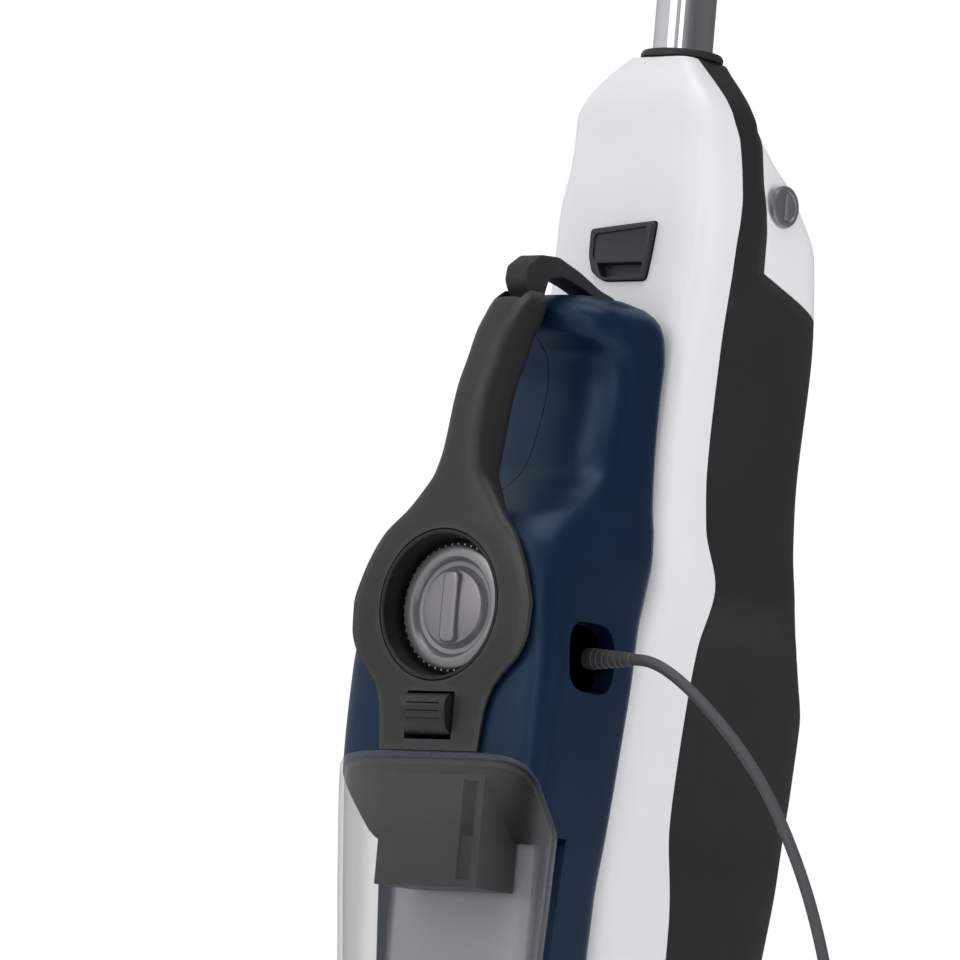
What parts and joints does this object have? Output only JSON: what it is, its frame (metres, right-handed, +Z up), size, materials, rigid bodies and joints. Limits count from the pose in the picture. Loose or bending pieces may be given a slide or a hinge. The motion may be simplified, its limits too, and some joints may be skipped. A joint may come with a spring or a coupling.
{
  "type": "steam mop",
  "caption": "Upright steam mop on a swivelling floor head, with a chrome pole, a lift-off water tank and a docked hand vacuum with a clear dust tank.",
  "frame": {"origin": "on the floor, under the axis of the pole, on the underside of the mop pad", "axes": "+X to the right and +Y to the rear as seen from behind the handle with the dial in front, +Z up along the pole"},
  "size_m": [0.4914, 0.291, 1.17],
  "materials": {
    "white_shell": "satin moulded, white",
    "charcoal_shell": "fine moulded grain, charcoal",
    "grip_grey": "fine moulded grain, dark grey",
    "navy_gloss": "gloss, navy",
    "slate": "satin, slate",
    "silver_plastic": "satin silver",
    "chrome": "polished",
    "steel": "plain turned or pressed",
    "smoke_clear": "clear smoked plastic",
    "frosted_clear": "frosted clear plastic",
    "black_plastic": "black moulded",
    "rubber": "matte",
    "cable": "satin grey jacket",
    "pad": "looped microfibre",
    "board": "circuit board",
    "filter": "pleated fleece"
  },
  "bodies": {
    "floor_head": {"head_base": "charcoal_shell", "head_cover": "white_shell", "steam_plate": "silver_plastic", "mop_pad": "pad", "wheel_axle": "steel", "head_duct": "black_plastic", "tilt_pin": "steel"},
    "wheel_left": {"wheel_left": "rubber"},
    "wheel_right": {"wheel_right": "rubber"},
    "neck": {"neck": "charcoal_shell", "swivel_clip": "steel"},
    "upright": {"front_shell": "white_shell", "rear_shell": "charcoal_shell", "pole_collar": "charcoal_shell", "pole_socket": "black_plastic", "pole": "chrome", "pole_screw": "steel", "boiler": "steel", "boiler_cradle": "black_plastic", "pump": "black_plastic", "control_board": "board", "water_hose": "frosted_clear", "boiler_feed_pipe": "steel", "steam_hose": "rubber", "suction_duct": "black_plastic", "button_bracket": "black_plastic", "button_spring": "steel", "handle_front": "charcoal_shell", "handle_rear": "white_shell", "trigger_pin": "steel", "trigger_switch": "black_plastic", "lower_cord_hook": "charcoal_shell", "swivel_bearing": "black_plastic"},
    "release_button": {"release_button": "slate"},
    "water_tank": {"water_tank": "frosted_clear", "tank_valve": "rubber"},
    "filler_cap": {"filler_cap": "silver_plastic"},
    "steam_trigger": {"steam_trigger": "slate"},
    "upper_cord_hook": {"upper_cord_hook": "charcoal_shell"},
    "hand_vac": {"vac_case_right": "navy_gloss", "vac_case_left": "navy_gloss", "grip_column": "grip_grey", "dial_cup": "black_plastic", "latch_pin": "steel", "suction_motor": "steel", "motor_mount": "rubber", "cord_gland": "cable", "cord_lead": "cable", "cord_coil": "cable", "plug": "black_plastic", "plug_pin_left": "steel", "plug_pin_right": "steel"},
    "dial_knob": {"dial_knob": "silver_plastic"},
    "dock_latch": {"dock_latch": "charcoal_shell"},
    "tank_release": {"tank_release": "grip_grey"},
    "dust_tank": {"dust_tank": "smoke_clear", "filter_frame": "grip_grey", "filter_cartridge": "filter"},
    "rotor": {"motor_shaft": "steel", "impeller": "silver_plastic"}
  },
  "joints": [
    {"name": "wheel_left_spin", "type": "hinge", "parent": "floor_head", "child": "wheel_left", "pos_m": [-0.112, 0.07, 0.0172], "axis": [1, 0, 0], "continuous": true},
    {"name": "wheel_right_spin", "type": "hinge", "parent": "floor_head", "child": "wheel_right", "pos_m": [0.112, 0.07, 0.0172], "axis": [1, 0, 0], "continuous": true},
    {"name": "neck_tilt", "type": "hinge", "parent": "floor_head", "child": "neck", "pos_m": [0, 0.022, 0.042], "axis": [-1, 0, 0], "range_deg": [0, 60]},
    {"name": "neck_swivel", "type": "hinge", "parent": "neck", "child": "upright", "pos_m": [0, 0, 0.13], "axis": [0, 0, 1], "range_deg": [-60, 60]},
    {"name": "release_button_push", "type": "slide", "parent": "upright", "child": "release_button", "axis": [0, 1, 0], "range_m": [0, 0.003], "stiffness_N_per_m": 600},
    {"name": "water_tank_lift", "type": "slide", "parent": "upright", "child": "water_tank", "axis": [0, 0, 1], "range_m": [0, 0.12]},
    {"name": "filler_cap_turn", "type": "hinge", "parent": "water_tank", "child": "filler_cap", "pos_m": [0.047, 0.0296, 0.637], "axis": [1, 0, 0], "range_deg": [0, 90]},
    {"name": "steam_trigger_pull", "type": "hinge", "parent": "upright", "child": "steam_trigger", "pos_m": [0, -0.016, 1.113], "axis": [1, 0, 0], "range_deg": [0, 6], "stiffness_Nm_per_rad": 1},
    {"name": "cord_hook_turn", "type": "hinge", "parent": "upright", "child": "upper_cord_hook", "pos_m": [0, 0, 1.036], "axis": [0, 0, 1], "range_deg": [0, 180]},
    {"name": "hand_vac_undock", "type": "slide", "parent": "upright", "child": "hand_vac", "axis": [0, -1, 0], "range_m": [0, 0.25]},
    {"name": "suction_dial_turn", "type": "hinge", "parent": "hand_vac", "child": "dial_knob", "pos_m": [0, -0.147, 0.401], "axis": [0, -1, 0], "range_deg": [-60, 60]},
    {"name": "dock_latch_lift", "type": "hinge", "parent": "hand_vac", "child": "dock_latch", "pos_m": [0, -0.112, 0.563], "axis": [1, 0, 0], "range_deg": [0, 15], "stiffness_Nm_per_rad": 0.3},
    {"name": "tank_release_push", "type": "slide", "parent": "hand_vac", "child": "tank_release", "axis": [0, 1, 0], "range_m": [0, 0.0025], "stiffness_N_per_m": 600},
    {"name": "dust_tank_drop", "type": "slide", "parent": "hand_vac", "child": "dust_tank", "axis": [0, 0, -1], "range_m": [0, 0.06]},
    {"name": "rotor_spin", "type": "hinge", "parent": "hand_vac", "child": "rotor", "pos_m": [0, -0.101, 0.346], "axis": [0, 0, 1], "continuous": true}
  ]
}
